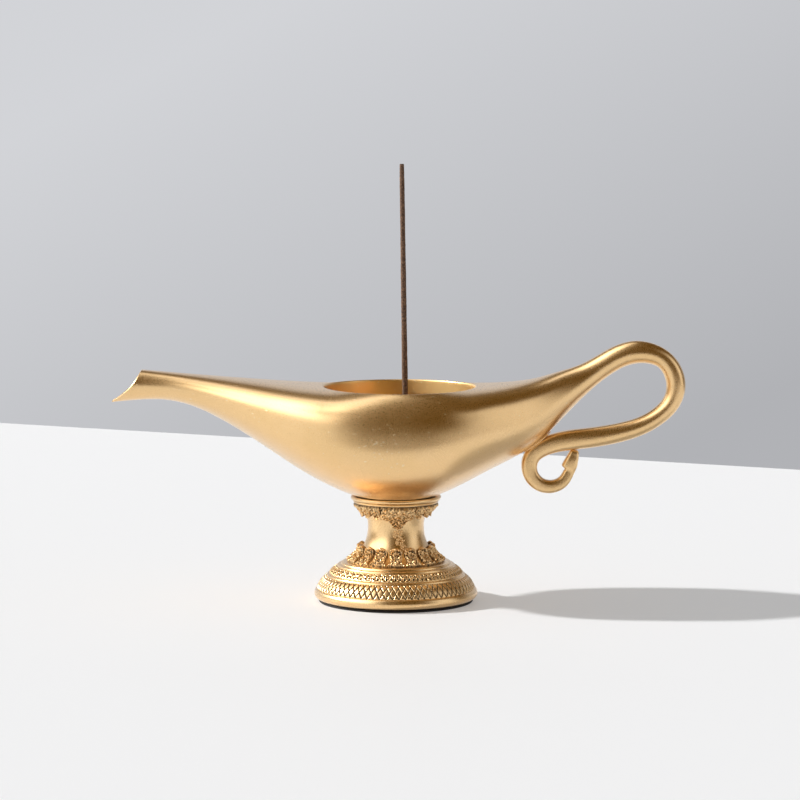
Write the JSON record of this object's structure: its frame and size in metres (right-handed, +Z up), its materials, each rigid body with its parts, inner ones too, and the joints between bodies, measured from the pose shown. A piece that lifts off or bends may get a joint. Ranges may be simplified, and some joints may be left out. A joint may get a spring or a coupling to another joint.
{
  "type": "genie lamp incense burner",
  "caption": "Boat-shaped oil lamp on a pedestal foot with a spout and a scrolled loop handle; its open bowl holds a lift-out ash dish, a stick holder and an incense stick.",
  "frame": {"origin": "centre of the base pad's underside, on the foot's axis", "axes": "+X towards the handle, -X towards the spout, +Z up, +Y across the bowl"},
  "size_m": [0.2098, 0.0722, 0.1603],
  "materials": {
    "satin_gold": "satin metallic gold over a smooth casting",
    "antique_gold": "satin metallic gold with dark recesses",
    "screw_steel": "zinc plated",
    "pad_rubber": "matte black",
    "dish_brass": "satin",
    "holder_brass": "turned",
    "incense": "rough rolled incense powder"
  },
  "bodies": {
    "lamp": {"vessel": "satin_gold", "handle": "satin_gold", "neck_ring": "satin_gold", "foot": "antique_gold", "foot_screw": "screw_steel", "screw_washer": "screw_steel", "base_pad": "pad_rubber"},
    "dish": {"ash_dish": "dish_brass", "stick_holder": "holder_brass", "holder_screw": "holder_brass"},
    "stick": {"incense_stick": "incense"}
  },
  "joints": [
    {"name": "dish_lift", "type": "slide", "parent": "lamp", "child": "dish", "axis": [0, 0, 1], "range_m": [0, 0.06]},
    {"name": "stick_lift", "type": "slide", "parent": "dish", "child": "stick", "axis": [-0.0145, 0, 0.9999], "range_m": [0, 0.04]}
  ]
}
